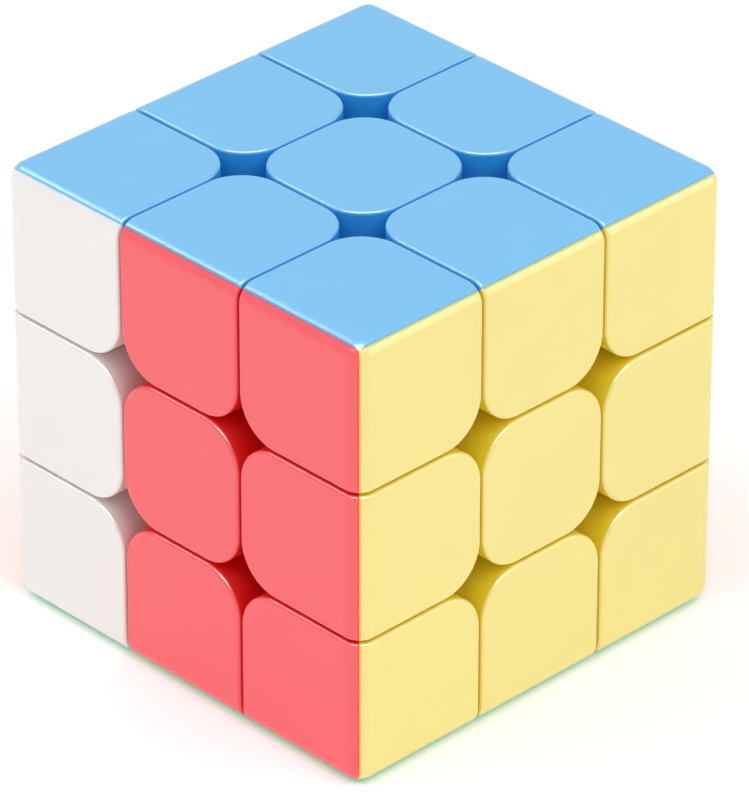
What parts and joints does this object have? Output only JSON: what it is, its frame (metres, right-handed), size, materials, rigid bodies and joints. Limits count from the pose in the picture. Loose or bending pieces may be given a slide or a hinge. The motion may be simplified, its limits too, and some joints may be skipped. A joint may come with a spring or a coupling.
{
  "type": "twisty puzzle cube",
  "caption": "Stickerless three-layer twisty puzzle cube: coloured moulded edge and corner pieces turn round six spring-loaded centres on one core.",
  "frame": {"origin": "centre of the core, which is the centre of the cube", "axes": "+Z out of the top face, -Y out of the front face, +X out of the right face"},
  "size_m": [0.056, 0.056, 0.056],
  "materials": {
    "blue_plastic": "satin gloss moulded ABS, light blue",
    "green_plastic": "satin gloss moulded ABS, light green",
    "red_plastic": "satin gloss moulded ABS, coral red",
    "orange_plastic": "satin gloss moulded ABS, light orange",
    "yellow_plastic": "satin gloss moulded ABS, pale yellow",
    "white_plastic": "satin gloss moulded ABS, white",
    "core_plastic": "moulded nylon, near black",
    "screw_steel": "plated steel",
    "washer_steel": "polished steel",
    "spring_steel": "drawn spring wire"
  },
  "bodies": {
    "axle_core": {"core": "core_plastic", "axle_screws": "screw_steel", "spring_washers": "washer_steel", "tension_springs": "spring_steel"},
    "top_centre": {"centre_top_blue": "blue_plastic"},
    "bottom_centre": {"centre_bottom_green": "green_plastic"},
    "front_centre": {"centre_front_red": "red_plastic"},
    "back_centre": {"centre_back_orange": "orange_plastic"},
    "left_centre": {"centre_left_white": "white_plastic"},
    "right_centre": {"centre_right_yellow": "yellow_plastic"},
    "front_left_edge": {"edge_front_left_orange": "orange_plastic", "edge_front_left_white": "white_plastic"},
    "bottom_left_edge": {"edge_bottom_left_green": "green_plastic", "edge_bottom_left_white": "white_plastic"},
    "top_left_edge": {"edge_top_left_blue": "blue_plastic", "edge_top_left_orange": "orange_plastic"},
    "back_left_edge": {"edge_back_left_red": "red_plastic", "edge_back_left_white": "white_plastic"},
    "bottom_front_edge": {"edge_bottom_front_green": "green_plastic", "edge_bottom_front_red": "red_plastic"},
    "top_front_edge": {"edge_top_front_blue": "blue_plastic", "edge_top_front_red": "red_plastic"},
    "bottom_back_edge": {"edge_bottom_back_green": "green_plastic", "edge_bottom_back_orange": "orange_plastic"},
    "top_back_edge": {"edge_top_back_blue": "blue_plastic", "edge_top_back_white": "white_plastic"},
    "front_right_edge": {"edge_front_right_red": "red_plastic", "edge_front_right_yellow": "yellow_plastic"},
    "bottom_right_edge": {"edge_bottom_right_green": "green_plastic", "edge_bottom_right_yellow": "yellow_plastic"},
    "top_right_edge": {"edge_top_right_blue": "blue_plastic", "edge_top_right_yellow": "yellow_plastic"},
    "back_right_edge": {"edge_back_right_orange": "orange_plastic", "edge_back_right_yellow": "yellow_plastic"},
    "top_front_left_corner": {"corner_top_front_left_blue": "blue_plastic", "corner_top_front_left_orange": "orange_plastic", "corner_top_front_left_white": "white_plastic"},
    "top_front_right_corner": {"corner_top_front_right_blue": "blue_plastic", "corner_top_front_right_red": "red_plastic", "corner_top_front_right_yellow": "yellow_plastic"},
    "top_back_left_corner": {"corner_top_back_left_blue": "blue_plastic", "corner_top_back_left_red": "red_plastic", "corner_top_back_left_white": "white_plastic"},
    "top_back_right_corner": {"corner_top_back_right_blue": "blue_plastic", "corner_top_back_right_orange": "orange_plastic", "corner_top_back_right_yellow": "yellow_plastic"},
    "bottom_front_left_corner": {"corner_bottom_front_left_green": "green_plastic", "corner_bottom_front_left_orange": "orange_plastic", "corner_bottom_front_left_white": "white_plastic"},
    "bottom_front_right_corner": {"corner_bottom_front_right_green": "green_plastic", "corner_bottom_front_right_red": "red_plastic", "corner_bottom_front_right_yellow": "yellow_plastic"},
    "bottom_back_left_corner": {"corner_bottom_back_left_green": "green_plastic", "corner_bottom_back_left_red": "red_plastic", "corner_bottom_back_left_white": "white_plastic"},
    "bottom_back_right_corner": {"corner_bottom_back_right_green": "green_plastic", "corner_bottom_back_right_orange": "orange_plastic", "corner_bottom_back_right_yellow": "yellow_plastic"}
  },
  "joints": [
    {"name": "top_turn", "type": "hinge", "parent": "axle_core", "child": "top_centre", "pos_m": [0, 0, 0], "axis": [0, 0, 1], "continuous": true},
    {"name": "bottom_turn", "type": "hinge", "parent": "axle_core", "child": "bottom_centre", "pos_m": [0, 0, 0], "axis": [0, 0, -1], "continuous": true},
    {"name": "front_turn", "type": "hinge", "parent": "axle_core", "child": "front_centre", "pos_m": [0, 0, 0], "axis": [0, -1, 0], "continuous": true},
    {"name": "back_turn", "type": "hinge", "parent": "axle_core", "child": "back_centre", "pos_m": [0, 0, 0], "axis": [0, 1, 0], "continuous": true},
    {"name": "left_turn", "type": "hinge", "parent": "axle_core", "child": "left_centre", "pos_m": [0, 0, 0], "axis": [-1, 0, 0], "continuous": true},
    {"name": "right_turn", "type": "hinge", "parent": "axle_core", "child": "right_centre", "pos_m": [0, 0, 0], "axis": [1, 0, 0], "continuous": true},
    {"name": "front_left_edge_turn", "type": "hinge", "parent": "left_centre", "child": "front_left_edge", "pos_m": [0, 0, 0], "axis": [0, -1, 0], "continuous": true},
    {"name": "bottom_left_edge_turn", "type": "hinge", "parent": "left_centre", "child": "bottom_left_edge", "pos_m": [0, 0, 0], "axis": [0, 0, -1], "continuous": true},
    {"name": "top_left_edge_turn", "type": "hinge", "parent": "left_centre", "child": "top_left_edge", "pos_m": [0, 0, 0], "axis": [0, 0, 1], "continuous": true},
    {"name": "back_left_edge_turn", "type": "hinge", "parent": "left_centre", "child": "back_left_edge", "pos_m": [0, 0, 0], "axis": [0, 1, 0], "continuous": true},
    {"name": "bottom_front_edge_turn", "type": "hinge", "parent": "bottom_centre", "child": "bottom_front_edge", "pos_m": [0, 0, 0], "axis": [0, -1, 0], "continuous": true},
    {"name": "top_front_edge_turn", "type": "hinge", "parent": "front_centre", "child": "top_front_edge", "pos_m": [0, 0, 0], "axis": [0, 0, 1], "continuous": true},
    {"name": "bottom_back_edge_turn", "type": "hinge", "parent": "back_centre", "child": "bottom_back_edge", "pos_m": [0, 0, 0], "axis": [0, 0, -1], "continuous": true},
    {"name": "top_back_edge_turn", "type": "hinge", "parent": "top_centre", "child": "top_back_edge", "pos_m": [0, 0, 0], "axis": [0, 1, 0], "continuous": true},
    {"name": "front_right_edge_turn", "type": "hinge", "parent": "front_centre", "child": "front_right_edge", "pos_m": [0, 0, 0], "axis": [1, 0, 0], "continuous": true},
    {"name": "bottom_right_edge_turn", "type": "hinge", "parent": "bottom_centre", "child": "bottom_right_edge", "pos_m": [0, 0, 0], "axis": [1, 0, 0], "continuous": true},
    {"name": "top_right_edge_turn", "type": "hinge", "parent": "top_centre", "child": "top_right_edge", "pos_m": [0, 0, 0], "axis": [1, 0, 0], "continuous": true},
    {"name": "back_right_edge_turn", "type": "hinge", "parent": "back_centre", "child": "back_right_edge", "pos_m": [0, 0, 0], "axis": [1, 0, 0], "continuous": true},
    {"name": "top_front_left_corner_turn", "type": "hinge", "parent": "top_front_edge", "child": "top_front_left_corner", "pos_m": [0, 0, 0], "axis": [-1, 0, 0], "continuous": true},
    {"name": "top_front_right_corner_turn", "type": "hinge", "parent": "top_front_edge", "child": "top_front_right_corner", "pos_m": [0, 0, 0], "axis": [1, 0, 0], "continuous": true},
    {"name": "top_back_left_corner_turn", "type": "hinge", "parent": "top_back_edge", "child": "top_back_left_corner", "pos_m": [0, 0, 0], "axis": [-1, 0, 0], "continuous": true},
    {"name": "top_back_right_corner_turn", "type": "hinge", "parent": "top_back_edge", "child": "top_back_right_corner", "pos_m": [0, 0, 0], "axis": [1, 0, 0], "continuous": true},
    {"name": "bottom_front_left_corner_turn", "type": "hinge", "parent": "bottom_front_edge", "child": "bottom_front_left_corner", "pos_m": [0, 0, 0], "axis": [-1, 0, 0], "continuous": true},
    {"name": "bottom_front_right_corner_turn", "type": "hinge", "parent": "bottom_front_edge", "child": "bottom_front_right_corner", "pos_m": [0, 0, 0], "axis": [1, 0, 0], "continuous": true},
    {"name": "bottom_back_left_corner_turn", "type": "hinge", "parent": "bottom_back_edge", "child": "bottom_back_left_corner", "pos_m": [0, 0, 0], "axis": [-1, 0, 0], "continuous": true},
    {"name": "bottom_back_right_corner_turn", "type": "hinge", "parent": "bottom_back_edge", "child": "bottom_back_right_corner", "pos_m": [0, 0, 0], "axis": [1, 0, 0], "continuous": true}
  ],
  "couplings": [
    {"joint": "front_left_edge_turn", "follows": "front_turn", "ratio": 1},
    {"joint": "bottom_left_edge_turn", "follows": "bottom_turn", "ratio": 1},
    {"joint": "top_left_edge_turn", "follows": "top_turn", "ratio": 1},
    {"joint": "back_left_edge_turn", "follows": "back_turn", "ratio": 1},
    {"joint": "bottom_front_edge_turn", "follows": "front_turn", "ratio": 1},
    {"joint": "top_front_edge_turn", "follows": "top_turn", "ratio": 1},
    {"joint": "bottom_back_edge_turn", "follows": "bottom_turn", "ratio": 1},
    {"joint": "top_back_edge_turn", "follows": "back_turn", "ratio": 1},
    {"joint": "front_right_edge_turn", "follows": "right_turn", "ratio": 1},
    {"joint": "bottom_right_edge_turn", "follows": "right_turn", "ratio": 1},
    {"joint": "top_right_edge_turn", "follows": "right_turn", "ratio": 1},
    {"joint": "back_right_edge_turn", "follows": "right_turn", "ratio": 1},
    {"joint": "top_front_left_corner_turn", "follows": "left_turn", "ratio": 1},
    {"joint": "top_front_right_corner_turn", "follows": "right_turn", "ratio": 1},
    {"joint": "top_back_left_corner_turn", "follows": "left_turn", "ratio": 1},
    {"joint": "top_back_right_corner_turn", "follows": "right_turn", "ratio": 1},
    {"joint": "bottom_front_left_corner_turn", "follows": "left_turn", "ratio": 1},
    {"joint": "bottom_front_right_corner_turn", "follows": "right_turn", "ratio": 1},
    {"joint": "bottom_back_left_corner_turn", "follows": "left_turn", "ratio": 1},
    {"joint": "bottom_back_right_corner_turn", "follows": "right_turn", "ratio": 1}
  ]
}
